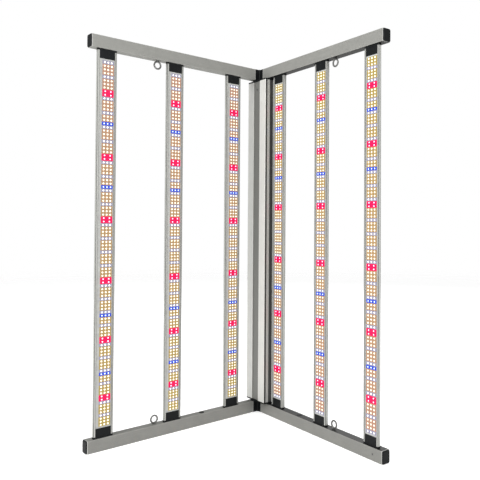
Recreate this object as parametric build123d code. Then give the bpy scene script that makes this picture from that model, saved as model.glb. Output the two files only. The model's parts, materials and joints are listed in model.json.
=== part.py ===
from build123d import *
import math
import os

os.makedirs("parts", exist_ok=True)

# A folding LED grow light: two wings of light bars joined like the covers of a book.
# All sizes are in millimetres. Each wing is drawn flat, in its own frame:
# X runs out from the hinge axis, Y runs back from the lit face, and Z is up.
# The right wing is then turned into place, and the left wing is its mirror image.

# Overall
HEIGHT = 1100
WING_WIDTH = 559
DEPTH = 26
OPENING_ANGLE = 86
FACE_GAP = 0.4          # lit face behind the hinge axis, so that closed wings don't rub

# Beams, their end caps and their fittings
BEAM_HEIGHT = 34
BEAM_WALL = 1.8
BEAM_CORNER = 1.2
PLUG_FIT = 0.15         # play round a piece that plugs into a beam or a bar
CAP_THICKNESS = 3
CAP_PLUG_LENGTH = 38
CAP_WALL = 3
CAP_CORNER = 5
CAP_EDGE = 2.8

# Hinge
LEAF_LENGTH = 17
LEAF_PLUG_LENGTH = 24
KNUCKLE_RADIUS = 3.6
KNUCKLE_CLEARANCE = 0.3
MIDDLE_KNUCKLE = (11.5, 22.5)
PIN_RADIUS = 1.6
PIN_RUNNING_FIT = 0.05
PIN_INSET = 1
WIRE_PASSAGE_RADIUS = 3

# Light bars
BAR_WIDTH = 53.6
BAR_SETBACK = 3.3       # bar front behind the beams' front
BAR_PLATE_DEPTH = 8.8   # the wide front part, ahead of the fins
BAR_DEPTH = 16.7        # the whole bar, fins included
BAR_BACK_WIDTH = 36
BAR_SPACING = 206
FIRST_BAR = 100
BAR_NAMES = ("inner", "middle", "outer")
BAR_CORNER = 1
RECESS_WIDTH = 42.3
RECESS_DEPTH = 3.4
DUCT_WIDTH = 32
DUCT_HEIGHT = 5.2
DUCT_FRONT = 4.6        # front wall of the wiring duct, behind the bar's front
FIN_SLOTS = 6
FIN_PITCH = 5.2
FIN_SLOT_WIDTH = 3.4
FIN_DEPTH = 5.5
BOARD_THICKNESS = 1.6
BOARD_SIDE_GAP = 0.2
BOARD_END_GAP = 1

# Connectors between bars and beams
FLANGE_THICKNESS = 5
TONGUE_LENGTH = 21
TONGUE_INSET = 0.4
TONGUE_SIDE_GAP = 0.35
SPIGOT_LENGTH = 18

# Hanging eyes
EYE_POSITION = 359
EYE_RING_RADIUS = 10
EYE_WIRE_RADIUS = 2.4
EYE_LIFT = 13.5         # beam face to ring centre
EYE_SHANK_RADIUS = 2.4
EYE_COLLAR_RADIUS = 4.5
EYE_COLLAR_THICKNESS = 1.2
EYE_HOLE_PLAY = 0.2
EYE_SHANK_SPARE = 2     # shank past the nut
NUT_ACROSS_FLATS = 8
NUT_THICKNESS = 4

# Wire plug in the bottom beam's inner face
WIRE_PLUG_POSITION = 202
WIRE_PLUG_RADIUS = 8
WIRE_PLUG_HEAD = 0.8
WIRE_PLUG_HOLE_RADIUS = 7
WIRE_PLUG_REACH = 3

# Wiring loom
LOOM_RADIUS = 2.2
LOOM_DEPTH = 15.5
LOOM_HEIGHT = 12
BRANCH_RADIUS = 1.4
BRANCH_OFFSET = -12     # beside each bar's middle
BRANCH_REACH = 20       # above the flange, inside the bar
BRANCH_PLAY = 0.3

# Screws
LONG_SCREW_RADIUS = 1.75
LONG_SCREW_REACH = 12   # past the flange, into the connector
COUNTERSINK_RADIUS = 3.6
COUNTERSINK_DEPTH = 2.2
SCREW_PLAY = 0.05
SMALL_SCREW_RADIUS = 1.4
SMALL_HEAD_RADIUS = 2.6
SMALL_HEAD_HEIGHT = 1.6
DRIVE_SLOT = 0.7
DRIVE_SPAN = 3
CAP_SCREW_FROM_END = 36.5
SMALL_SCREW_LENGTH = 7
END_SCREW_LENGTH = 12
LEAF_SCREWS = (26, 34)
CLIP_SCREW_POSITION = 265

# Driver: a long closed housing that straddles the hinge and is fixed to the right wing
DRIVER_LEFT = -36
DRIVER_WIDTH = 98
DRIVER_FRONT = -19.5
DRIVER_DEPTH = 32
DRIVER_END_SPACE = 5    # filled by the mounting blocks
DRIVER_CORNER = 1.5
DRIVER_WALL = 3
CHANNEL_WIDTH = 34
CHANNEL_DEPTH = 2.5
SIDE_GROOVE_DEPTH = 1.6
SIDE_GROOVES = ((1.6, 8.4), (17, 30))
END_COVER_THICKNESS = 3
GASKET_THICKNESS = 1
GASKET_WIDTH = 4
MOUNT_BLOCK_START = 20
MOUNT_BLOCK_END = 60
DRIVER_SCREW_POSITION = 49
FEED_POSITION = 44
DRIVER_FIXING_DEPTH = 9.4   # the driver's beam screws and its feed wire
END_SCREW_INSET = 6
FACE_SCREW_FROM_END = 30
FACE_SCREW_REACH = 5

# Inside the driver
CIRCUIT_WIDTH = 66
CIRCUIT_START = 190
CIRCUIT_LENGTH = 720
CIRCUIT_STANDOFF = 3
TRANSFORMER_SIZE = (30, 15, 42)
TRANSFORMER_HEIGHTS = (420, 700)
WINDING_OVERHANG = 3
WINDING_SHARE = 0.66    # of the core's width
CAPACITOR_RADIUS = 7
CAPACITOR_LENGTH = 30
CAPACITOR_HEIGHTS = (300, 345, 560, 605, 820)
SPREADER_SIZE = (9, 12, 300)
SPREADER_START = 390

# Inlet and dimmer on the driver's back
INLET_HEIGHT = 115
INLET_FLANGE = (40, 30)
INLET_BODY = (30, 22)
INLET_MOUTH = (24, 16)
INLET_REACH = 14
INLET_FLANGE_THICKNESS = 2
INLET_FLOOR = 2
INLET_CORNER = 4
BLADE_SIZE = (2, 5)
BLADE_LENGTH = 7
BLADE_PLACES = ((-7, -1), (0, 2), (7, -1))
KNOB_HEIGHT = 250
KNOB_RADIUS = 9
KNOB_LENGTH = 12
KNOB_GAP = 0.6
KNOB_GRIPS = 24
KNOB_GRIP_RADIUS = 0.5
POINTER_WIDTH = 1.2
POINTER_DEPTH = 1
SHAFT_RADIUS = 3
SHAFT_FIT = 0.05
SHAFT_HOLE_PLAY = 1     # round the shaft, in the housing's wall
POTENTIOMETER_SIZE = (17, 8, 17)
SHAFT_REACH = 5

MIDDLE_DEPTH = FACE_GAP + DEPTH / 2
BAR_FRONT = FACE_GAP + BAR_SETBACK
BAR_BACK = BAR_FRONT + BAR_DEPTH
RECESS_FLOOR = BAR_FRONT + RECESS_DEPTH
DUCT_MIDDLE = BAR_FRONT + DUCT_FRONT + DUCT_HEIGHT / 2
BAR_START = BEAM_HEIGHT + FLANGE_THICKNESS
BAR_SCREW_TOP = BAR_START + LONG_SCREW_REACH
BAR_CENTRES = [FIRST_BAR + BAR_SPACING * n for n in range(len(BAR_NAMES))]
BEAM_END = WING_WIDTH - CAP_THICKNESS
DRIVER_MIDDLE = DRIVER_LEFT + DRIVER_WIDTH / 2
DRIVER_RIGHT = DRIVER_LEFT + DRIVER_WIDTH
DRIVER_BACK = DRIVER_FRONT + DRIVER_DEPTH
DRIVER_BOTTOM = BEAM_HEIGHT + DRIVER_END_SPACE
DRIVER_SCREW_TOP = DRIVER_BOTTOM + END_COVER_THICKNESS
TURN = (180 - OPENING_ANGLE) / 2


# ---- Helpers ----

def block(low, high):
    """A box from its lowest corner to its highest."""
    size = [b - a for a, b in zip(low, high)]
    middle = [(a + b) / 2 for a, b in zip(low, high)]
    return Pos(*middle) * Box(*size)


def rod(radius, start, end):
    """A straight cylinder from one point to another."""
    direction = Vector(*end) - Vector(*start)
    return extrude(Plane(start, z_dir=direction) * Circle(radius), amount=direction.length)


def tube_outline(width, height, corner):
    """A rounded rectangle, or a plain one where the corner radius is zero."""
    if corner:
        return RectangleRounded(width, height, corner)
    return Rectangle(width, height)


def along_x(depth, height, corner, start, end):
    """A bar of beam section that runs along X, centred in a bottom beam."""
    place = Plane.YZ.offset(start) * Pos(MIDDLE_DEPTH, BEAM_HEIGHT / 2)
    return extrude(place * tube_outline(depth, height, corner), amount=end - start)


def at_top(shape):
    """The same piece at the other end of the bars."""
    return mirror(shape, about=Plane.XY.offset(HEIGHT / 2))


def slotted(head, seat, direction):
    """A cross recess cut into a screw head, whose top is at seat and faces along direction."""
    place = Plane(seat, z_dir=direction)
    for size in ((DRIVE_SPAN, DRIVE_SLOT), (DRIVE_SLOT, DRIVE_SPAN)):
        head -= extrude(place * Rectangle(*size), amount=-SMALL_HEAD_HEIGHT / 2)
    return head


# ---- Beams ----

def bottom_beam(carries_wires, front_screw, inner_screw):
    """A rectangular tube with the holes for its fittings. Its inner face is its top face."""
    beam = along_x(DEPTH, BEAM_HEIGHT, BEAM_CORNER, LEAF_LENGTH, BEAM_END)
    hollow = (DEPTH - 2 * BEAM_WALL, BEAM_HEIGHT - 2 * BEAM_WALL)
    beam -= along_x(*hollow, 0, LEAF_LENGTH, BEAM_END)
    for centre in BAR_CENTRES:
        beam -= long_screw_hole(centre)
        if carries_wires:
            beam -= rod(BRANCH_RADIUS + BRANCH_PLAY,
                        (centre + BRANCH_OFFSET, DUCT_MIDDLE, BEAM_HEIGHT / 2),
                        (centre + BRANCH_OFFSET, DUCT_MIDDLE, BEAM_HEIGHT + 1))
    if carries_wires:
        beam -= rod(WIRE_PLUG_HOLE_RADIUS, (WIRE_PLUG_POSITION, MIDDLE_DEPTH, BEAM_HEIGHT / 2),
                    (WIRE_PLUG_POSITION, MIDDLE_DEPTH, BEAM_HEIGHT + 1))
    beam -= rod(EYE_SHANK_RADIUS + EYE_HOLE_PLAY, (EYE_POSITION, MIDDLE_DEPTH, BEAM_HEIGHT / 2),
                (EYE_POSITION, MIDDLE_DEPTH, BEAM_HEIGHT + 1))
    for x in LEAF_SCREWS:
        beam -= rod(SMALL_SCREW_RADIUS + SCREW_PLAY, (x, MIDDLE_DEPTH, BEAM_HEIGHT / 2),
                    (x, FACE_GAP + DEPTH + 1, BEAM_HEIGHT / 2))
    if front_screw:
        x = WING_WIDTH - CAP_SCREW_FROM_END
        beam -= rod(SMALL_SCREW_RADIUS + SCREW_PLAY, (x, 0, BEAM_HEIGHT / 2),
                    (x, MIDDLE_DEPTH, BEAM_HEIGHT / 2))
        beam -= rod(SMALL_HEAD_RADIUS + SCREW_PLAY, (x, 0, BEAM_HEIGHT / 2),
                    (x, FACE_GAP + SMALL_HEAD_HEIGHT, BEAM_HEIGHT / 2))
    if inner_screw:
        beam -= rod(SMALL_SCREW_RADIUS + SCREW_PLAY,
                    (CLIP_SCREW_POSITION, MIDDLE_DEPTH, BEAM_HEIGHT / 2),
                    (CLIP_SCREW_POSITION, MIDDLE_DEPTH, BEAM_HEIGHT + 1))
    return beam


def end_cap():
    """A moulded plate that closes a beam, with a plug that fits inside the tube."""
    plate = along_x(DEPTH, BEAM_HEIGHT, 0, BEAM_END, WING_WIDTH)
    plate = fillet(plate.edges().filter_by(Axis.X), CAP_CORNER)
    outer_face = plate.faces().sort_by(Axis.X)[-1]
    plate = fillet(outer_face.edges(), CAP_EDGE)
    inside = [size - 2 * (BEAM_WALL + PLUG_FIT) for size in (DEPTH, BEAM_HEIGHT)]
    cap = plate + along_x(*inside, 0, BEAM_END - CAP_PLUG_LENGTH, BEAM_END)
    hollow = [size - 2 * CAP_WALL for size in inside]
    cap -= along_x(*hollow, 0, BEAM_END - CAP_PLUG_LENGTH, BEAM_END)
    x = WING_WIDTH - CAP_SCREW_FROM_END
    return cap - rod(SMALL_SCREW_RADIUS + SCREW_PLAY, (x, 0, BEAM_HEIGHT / 2),
                     (x, MIDDLE_DEPTH, BEAM_HEIGHT / 2))


# ---- Hinge ----

def knuckle_spans(is_middle):
    """The heights of a leaf's own knuckles."""
    low, high = MIDDLE_KNUCKLE
    if is_middle:
        return [(low, high)]
    return [(0, low - KNUCKLE_CLEARANCE), (high + KNUCKLE_CLEARANCE, BEAM_HEIGHT)]


def hinge_leaf(is_middle):
    """A moulded end piece with a plug into the beam and knuckles round the hinge axis."""
    leaf = along_x(DEPTH, BEAM_HEIGHT, 0, KNUCKLE_CLEARANCE, LEAF_LENGTH)
    inside = [size - 2 * (BEAM_WALL + PLUG_FIT) for size in (DEPTH, BEAM_HEIGHT)]
    leaf += along_x(*inside, 0, LEAF_LENGTH, LEAF_LENGTH + LEAF_PLUG_LENGTH)
    room = KNUCKLE_RADIUS + KNUCKLE_CLEARANCE
    for low, high in knuckle_spans(not is_middle):
        low_end = low - KNUCKLE_CLEARANCE if low > 0 else low
        high_end = high + KNUCKLE_CLEARANCE if high < BEAM_HEIGHT else high
        leaf -= rod(room, (0, 0, low_end), (0, 0, high_end))
    for low, high in knuckle_spans(is_middle):
        leaf += rod(KNUCKLE_RADIUS, (0, 0, low), (0, 0, high))
    play = PIN_RUNNING_FIT if is_middle else 0
    leaf -= rod(PIN_RADIUS + play, (0, 0, -1), (0, 0, BEAM_HEIGHT + 1))
    passage_depth = FACE_GAP + DEPTH - BEAM_WALL - 2 * WIRE_PASSAGE_RADIUS
    leaf -= rod(WIRE_PASSAGE_RADIUS, (0, passage_depth, BEAM_HEIGHT / 2),
                (LEAF_LENGTH + LEAF_PLUG_LENGTH + 1, passage_depth, BEAM_HEIGHT / 2))
    return leaf - [leaf_screw_shank(x, SCREW_PLAY) for x in LEAF_SCREWS]


def hinge_pins():
    """One steel pin in the bottom hinge and one in the top."""
    pin = rod(PIN_RADIUS, (0, 0, PIN_INSET), (0, 0, BEAM_HEIGHT - PIN_INSET))
    return [pin, at_top(pin)]


# ---- Light bars ----

def bar_outline(centre):
    """The bar's outer section: a wide front part and a narrower back part."""
    plate_middle = BAR_FRONT + BAR_PLATE_DEPTH / 2
    outline = Pos(centre, plate_middle) * RectangleRounded(BAR_WIDTH, BAR_PLATE_DEPTH, BAR_CORNER)
    rear = Rectangle(BAR_BACK_WIDTH, BAR_BACK - plate_middle)
    return outline + Pos(centre, (plate_middle + BAR_BACK) / 2) * rear


def light_bar(centre):
    """A finned extrusion with a recess for the LED board and a duct for its wires."""
    outline = bar_outline(centre)
    outline -= Pos(centre, RECESS_FLOOR - RECESS_DEPTH) * Rectangle(RECESS_WIDTH, 2 * RECESS_DEPTH)
    outline -= Pos(centre, DUCT_MIDDLE) * Rectangle(DUCT_WIDTH, DUCT_HEIGHT)
    for n in range(FIN_SLOTS):
        x = centre + (n - (FIN_SLOTS - 1) / 2) * FIN_PITCH
        y = BAR_BACK - FIN_DEPTH / 2 + 1
        outline -= Pos(x, y) * Rectangle(FIN_SLOT_WIDTH, FIN_DEPTH + 2)
    return extrude(Plane.XY.offset(BAR_START) * outline, amount=HEIGHT - 2 * BAR_START)


def led_board(centre):
    """The aluminium-backed strip that carries the LEDs, lying on the recess floor."""
    half = RECESS_WIDTH / 2 - BOARD_SIDE_GAP
    end = BAR_START + BOARD_END_GAP
    return block((centre - half, RECESS_FLOOR - BOARD_THICKNESS, end),
                 (centre + half, RECESS_FLOOR, HEIGHT - end))


def connector(centre, has_wire):
    """A moulded joint: flange against the beam, tongue over the board, spigot in the duct."""
    flange = extrude(Plane.XY.offset(BEAM_HEIGHT) * bar_outline(centre), amount=FLANGE_THICKNESS)
    tongue_half = RECESS_WIDTH / 2 - TONGUE_SIDE_GAP
    tongue_back = RECESS_FLOOR - BOARD_THICKNESS - TONGUE_INSET / 2
    tongue = block((centre - tongue_half, BAR_FRONT + TONGUE_INSET, BAR_START),
                   (centre + tongue_half, tongue_back, BAR_START + TONGUE_LENGTH))
    spigot_half = DUCT_WIDTH / 2 - PLUG_FIT
    duct_half = DUCT_HEIGHT / 2 - PLUG_FIT
    spigot = block((centre - spigot_half, DUCT_MIDDLE - duct_half, BAR_START),
                   (centre + spigot_half, DUCT_MIDDLE + duct_half, BAR_START + SPIGOT_LENGTH))
    joint = flange + tongue + spigot - long_screw_hole(centre)
    if has_wire:
        joint -= rod(BRANCH_RADIUS + BRANCH_PLAY, (centre + BRANCH_OFFSET, DUCT_MIDDLE, BEAM_HEIGHT - 1),
                     (centre + BRANCH_OFFSET, DUCT_MIDDLE, BAR_START + SPIGOT_LENGTH + 1))
    return joint


# ---- Hanging eyes and the wire plug ----

def eye_bolt():
    """A closed wire ring on a threaded shank, with a collar that seats on the beam."""
    centre = (EYE_POSITION, MIDDLE_DEPTH, BEAM_HEIGHT + EYE_LIFT)
    ring = Pos(*centre) * Rot(90, 0, 0) * Torus(EYE_RING_RADIUS, EYE_WIRE_RADIUS)
    foot = (EYE_POSITION, MIDDLE_DEPTH, BEAM_HEIGHT)
    neck_top = BEAM_HEIGHT + EYE_LIFT - EYE_RING_RADIUS
    below = (EYE_POSITION, MIDDLE_DEPTH, BEAM_HEIGHT - BEAM_WALL - NUT_THICKNESS - EYE_SHANK_SPARE)
    shank = rod(EYE_SHANK_RADIUS, below, (EYE_POSITION, MIDDLE_DEPTH, neck_top))
    collar = rod(EYE_COLLAR_RADIUS, foot,
                 (EYE_POSITION, MIDDLE_DEPTH, BEAM_HEIGHT + EYE_COLLAR_THICKNESS))
    return ring + shank + collar


def eye_nut():
    """A hexagon nut on the shank, inside the beam."""
    top = BEAM_HEIGHT - BEAM_WALL
    place = Plane.XY.offset(top - NUT_THICKNESS) * Pos(EYE_POSITION, MIDDLE_DEPTH)
    outline = RegularPolygon(NUT_ACROSS_FLATS / 2, 6, major_radius=False) - Circle(EYE_SHANK_RADIUS)
    return extrude(place * outline, amount=NUT_THICKNESS)


def wire_plug():
    """A flat moulded plug that closes the assembly hole above the loom."""
    head = rod(WIRE_PLUG_RADIUS, (WIRE_PLUG_POSITION, MIDDLE_DEPTH, BEAM_HEIGHT),
               (WIRE_PLUG_POSITION, MIDDLE_DEPTH, BEAM_HEIGHT + WIRE_PLUG_HEAD))
    body = rod(WIRE_PLUG_HOLE_RADIUS - PLUG_FIT,
               (WIRE_PLUG_POSITION, MIDDLE_DEPTH, BEAM_HEIGHT - WIRE_PLUG_REACH),
               (WIRE_PLUG_POSITION, MIDDLE_DEPTH, BEAM_HEIGHT))
    return fillet(head.edges().sort_by(Axis.Z)[-1], WIRE_PLUG_HEAD / 2) + body


def wiring_loom(start, feed):
    """The sheathed wires in a bottom beam, with a branch up into every bar."""
    last = BAR_CENTRES[-1] + BRANCH_OFFSET
    loom = rod(LOOM_RADIUS, (start, LOOM_DEPTH, LOOM_HEIGHT), (last, LOOM_DEPTH, LOOM_HEIGHT))
    branches = [(x + BRANCH_OFFSET, DUCT_MIDDLE, BAR_START + BRANCH_REACH) for x in BAR_CENTRES]
    if feed:
        branches.append((FEED_POSITION, DRIVER_FIXING_DEPTH, DRIVER_BOTTOM + END_COVER_THICKNESS))
    for x, y, top in branches:
        loom += rod(BRANCH_RADIUS, (x, LOOM_DEPTH, LOOM_HEIGHT), (x, y, LOOM_HEIGHT))
        loom += Pos(x, y, LOOM_HEIGHT) * Sphere(BRANCH_RADIUS)
        loom += rod(BRANCH_RADIUS, (x, y, LOOM_HEIGHT), (x, y, top))
    return loom


# ---- Screws ----

def long_screw_body(x, y, top, play):
    """A countersunk head and its shank, up from the beam's outer face."""
    shank = rod(LONG_SCREW_RADIUS + play, (x, y, 0), (x, y, top))
    head = Pos(x, y, COUNTERSINK_DEPTH / 2) * Rot(180, 0, 0) * Cone(
        LONG_SCREW_RADIUS + play, COUNTERSINK_RADIUS + play, COUNTERSINK_DEPTH)
    return shank + head


def long_screw_hole(x, y=DUCT_MIDDLE, top=BAR_SCREW_TOP):
    """The hole for a screw that runs through the beam into the piece above it."""
    return long_screw_body(x, y, top, SCREW_PLAY)


def long_screw(x, y=DUCT_MIDDLE, top=BAR_SCREW_TOP):
    """A countersunk screw from the beam's outer face."""
    return slotted(long_screw_body(x, y, top, 0), (x, y, 0), (0, 0, -1))


def leaf_screw_shank(x, play):
    """The part of a leaf screw that is inside the beam."""
    return rod(SMALL_SCREW_RADIUS + play, (x, MIDDLE_DEPTH, BEAM_HEIGHT / 2),
               (x, FACE_GAP + DEPTH, BEAM_HEIGHT / 2))


def small_screw(shank_end, seat, direction):
    """A pan-head screw, from its shank's end to the seat under its head."""
    head_top = Vector(*seat) + Vector(*direction) * SMALL_HEAD_HEIGHT
    head = rod(SMALL_HEAD_RADIUS, seat, tuple(head_top))
    rims = head.edges().filter_by(GeomType.CIRCLE)
    outer = rims.sort_by(lambda rim: rim.center().dot(Vector(*direction)))[-1]
    head = slotted(fillet(outer, SMALL_HEAD_HEIGHT / 2), tuple(head_top), direction)
    return rod(SMALL_SCREW_RADIUS, shank_end, seat) + head


def leaf_screws():
    """The screws that hold a hinge leaf's plug, from the beam's back face."""
    height = BEAM_HEIGHT / 2
    return [small_screw((x, MIDDLE_DEPTH, height), (x, FACE_GAP + DEPTH, height), (0, 1, 0))
            for x in LEAF_SCREWS]


def cap_screw():
    """The screw let into the front face, through the end cap's plug."""
    x = WING_WIDTH - CAP_SCREW_FROM_END
    seat = (x, FACE_GAP + SMALL_HEAD_HEIGHT, BEAM_HEIGHT / 2)
    return small_screw((x, seat[1] + SMALL_SCREW_LENGTH, BEAM_HEIGHT / 2), seat, (0, -1, 0))


def clip_screw():
    """The screw of the wire clip, in the inner face of a beam."""
    return small_screw((CLIP_SCREW_POSITION, MIDDLE_DEPTH, BEAM_HEIGHT - SMALL_SCREW_LENGTH),
                       (CLIP_SCREW_POSITION, MIDDLE_DEPTH, BEAM_HEIGHT), (0, 0, 1))


# ---- Driver ----

def driver_outline(inset):
    """The outline of the driver's section, inset all round."""
    place = Pos(DRIVER_MIDDLE, DRIVER_FRONT + DRIVER_DEPTH / 2)
    return place * tube_outline(DRIVER_WIDTH - 2 * inset, DRIVER_DEPTH - 2 * inset, DRIVER_CORNER)


def housing_outline():
    """The extrusion's outer section, with its front channel and its side grooves."""
    outline = driver_outline(0)
    outline -= Pos(DRIVER_MIDDLE, DRIVER_FRONT) * Rectangle(CHANNEL_WIDTH, 2 * CHANNEL_DEPTH)
    for x in (DRIVER_LEFT, DRIVER_RIGHT):
        for front, back in SIDE_GROOVES:
            y = DRIVER_FRONT + (front + back) / 2
            outline -= Pos(x, y) * Rectangle(2 * SIDE_GROOVE_DEPTH, back - front)
    return outline


def end_screw_places():
    """The four screw ports in each end of the driver, as X and Y."""
    xs = (DRIVER_LEFT + END_SCREW_INSET, DRIVER_RIGHT - END_SCREW_INSET)
    ys = (DRIVER_FRONT + END_SCREW_INSET, DRIVER_BACK - END_SCREW_INSET)
    return [(x, y) for x in xs for y in ys]


def driver_housing():
    """The long aluminium tube that holds the power supply."""
    bottom = DRIVER_BOTTOM + END_COVER_THICKNESS + GASKET_THICKNESS
    section = housing_outline()
    hollow_front = DRIVER_FRONT + CHANNEL_DEPTH + DRIVER_WALL
    hollow_back = DRIVER_BACK - DRIVER_WALL
    section -= Pos(DRIVER_MIDDLE, (hollow_front + hollow_back) / 2) * Rectangle(
        DRIVER_WIDTH - 2 * (SIDE_GROOVE_DEPTH + DRIVER_WALL), hollow_back - hollow_front)
    port = END_SCREW_INSET - DRIVER_WALL / 2
    for x, y in end_screw_places():
        section += Pos(x, y) * Circle(port)
        section -= Pos(x, y) * Circle(SMALL_SCREW_RADIUS + SCREW_PLAY)
    housing = extrude(Plane.XY.offset(bottom) * section, amount=HEIGHT - 2 * bottom)
    housing -= rod(SHAFT_RADIUS + SHAFT_HOLE_PLAY, (DRIVER_MIDDLE, 0, KNOB_HEIGHT),
                   (DRIVER_MIDDLE, DRIVER_BACK + 1, KNOB_HEIGHT))
    width, height = INLET_BODY
    housing -= block((DRIVER_MIDDLE - width / 2, 0, INLET_HEIGHT - height / 2),
                     (DRIVER_MIDDLE + width / 2, DRIVER_BACK + 1, INLET_HEIGHT + height / 2))
    screw_height = HEIGHT - DRIVER_BOTTOM - FACE_SCREW_FROM_END
    housing -= rod(SMALL_SCREW_RADIUS + SCREW_PLAY, (DRIVER_MIDDLE, DRIVER_FRONT, screw_height),
                   (DRIVER_MIDDLE, hollow_front + 1, screw_height))
    return housing


def end_cover(has_wire):
    """A black plate over the driver's bottom end."""
    plate = extrude(Plane.XY.offset(DRIVER_BOTTOM) * driver_outline(0), amount=END_COVER_THICKNESS)
    for x, y in end_screw_places():
        plate -= rod(SMALL_SCREW_RADIUS + SCREW_PLAY, (x, y, 0), (x, y, HEIGHT / 2))
        plate -= rod(SMALL_HEAD_RADIUS + SCREW_PLAY, (x, y, 0), (x, y, DRIVER_BOTTOM + SMALL_HEAD_HEIGHT))
    plate -= driver_screw_hole()
    if has_wire:
        plate -= feed_hole(DRIVER_BOTTOM + END_COVER_THICKNESS + 1)
    return plate


def gasket():
    """A rubber frame between an end cover and the housing."""
    bottom = DRIVER_BOTTOM + END_COVER_THICKNESS
    frame = driver_outline(SIDE_GROOVE_DEPTH / 2)
    middle = Pos(DRIVER_MIDDLE, DRIVER_FRONT + DRIVER_DEPTH / 2)
    frame -= middle * Rectangle(DRIVER_WIDTH - 2 * GASKET_WIDTH, DRIVER_DEPTH - 2 * GASKET_WIDTH)
    for x, y in end_screw_places():
        frame -= Pos(x, y) * Circle(SMALL_HEAD_RADIUS)
    return extrude(Plane.XY.offset(bottom) * frame, amount=GASKET_THICKNESS)


def driver_screw_hole():
    """The hole for the long screw that fixes a driver end to its beam."""
    return long_screw_hole(DRIVER_SCREW_POSITION, DRIVER_FIXING_DEPTH, DRIVER_SCREW_TOP + 1)


def feed_hole(top):
    """The hole for the wires that run from the bottom beam's loom into the driver."""
    return rod(BRANCH_RADIUS + BRANCH_PLAY, (FEED_POSITION, DRIVER_FIXING_DEPTH, BEAM_HEIGHT / 2),
               (FEED_POSITION, DRIVER_FIXING_DEPTH, top))


def mount_block(has_wire):
    """A moulded spacer between the beam and the driver's end."""
    spacer = block((MOUNT_BLOCK_START, FACE_GAP, BEAM_HEIGHT),
                   (MOUNT_BLOCK_END, DRIVER_BACK, DRIVER_BOTTOM))
    spacer -= driver_screw_hole()
    if has_wire:
        spacer -= feed_hole(DRIVER_BOTTOM + 1)
    return spacer


def driver_screws():
    """The end cover screws and the one in the front channel."""
    seat_height = DRIVER_BOTTOM + SMALL_HEAD_HEIGHT
    screws = []
    for x, y in end_screw_places():
        screw = small_screw((x, y, seat_height + END_SCREW_LENGTH), (x, y, seat_height), (0, 0, -1))
        screws += [screw, at_top(screw)]
    height = HEIGHT - DRIVER_BOTTOM - FACE_SCREW_FROM_END
    seat = DRIVER_FRONT + CHANNEL_DEPTH
    screws.append(small_screw((DRIVER_MIDDLE, seat + FACE_SCREW_REACH, height),
                              (DRIVER_MIDDLE, seat, height), (0, -1, 0)))
    return screws


def circuit_board():
    """The power supply's board, on standoffs behind the front wall."""
    front = DRIVER_FRONT + CHANNEL_DEPTH + DRIVER_WALL + CIRCUIT_STANDOFF
    half = CIRCUIT_WIDTH / 2
    return block((DRIVER_MIDDLE - half, front, CIRCUIT_START),
                 (DRIVER_MIDDLE + half, front + BOARD_THICKNESS, CIRCUIT_START + CIRCUIT_LENGTH))


def component_face():
    """The depth at which components sit on the circuit board."""
    return DRIVER_FRONT + CHANNEL_DEPTH + DRIVER_WALL + CIRCUIT_STANDOFF + BOARD_THICKNESS


def transformers():
    """Two wound transformers: a core block with a thicker winding round its middle."""
    width, depth, height = TRANSFORMER_SIZE
    front = component_face()
    shapes = []
    for z in TRANSFORMER_HEIGHTS:
        core = block((DRIVER_MIDDLE - width / 2, front, z),
                     (DRIVER_MIDDLE + width / 2, front + depth - WINDING_OVERHANG, z + height))
        half = width * WINDING_SHARE / 2
        winding = block((DRIVER_MIDDLE - half, front, z - WINDING_OVERHANG),
                        (DRIVER_MIDDLE + half, front + depth, z + height + WINDING_OVERHANG))
        shapes.append(core + winding)
    return shapes


def capacitors():
    """Round capacitors that lie on the board."""
    y = component_face() + CAPACITOR_RADIUS
    x = DRIVER_MIDDLE - CIRCUIT_WIDTH / 4
    return [rod(CAPACITOR_RADIUS, (x, y, z), (x, y, z + CAPACITOR_LENGTH)) for z in CAPACITOR_HEIGHTS]


def heat_spreader():
    """An aluminium block that carries the switching devices' heat to the housing."""
    width, depth, height = SPREADER_SIZE
    x = DRIVER_MIDDLE + CIRCUIT_WIDTH / 2 - width
    front = component_face()
    return block((x, front, SPREADER_START), (x + width, front + depth, SPREADER_START + height))


# ---- Inlet and dimmer ----

def mains_inlet():
    """A three-blade power inlet, open to the back."""
    def layer(size, front, back):
        width, height = size
        return block((DRIVER_MIDDLE - width / 2, front, INLET_HEIGHT - height / 2),
                     (DRIVER_MIDDLE + width / 2, back, INLET_HEIGHT + height / 2))

    face = DRIVER_BACK + INLET_FLANGE_THICKNESS
    flange = layer(INLET_FLANGE, DRIVER_BACK, face)
    flange = fillet(flange.edges().filter_by(Axis.Y), INLET_CORNER)
    body_size = [size - 2 * PLUG_FIT for size in INLET_BODY]
    inlet = flange + layer(body_size, face - INLET_REACH, DRIVER_BACK)
    inlet -= layer(INLET_MOUTH, face - INLET_REACH + INLET_FLOOR, face + 1)
    width, height = BLADE_SIZE
    floor = face - INLET_REACH + INLET_FLOOR
    for x, z in BLADE_PLACES:
        inlet += block((DRIVER_MIDDLE + x - width / 2, floor - 1, INLET_HEIGHT + z - height / 2),
                       (DRIVER_MIDDLE + x + width / 2, floor + BLADE_LENGTH, INLET_HEIGHT + z + height / 2))
    return inlet


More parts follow.
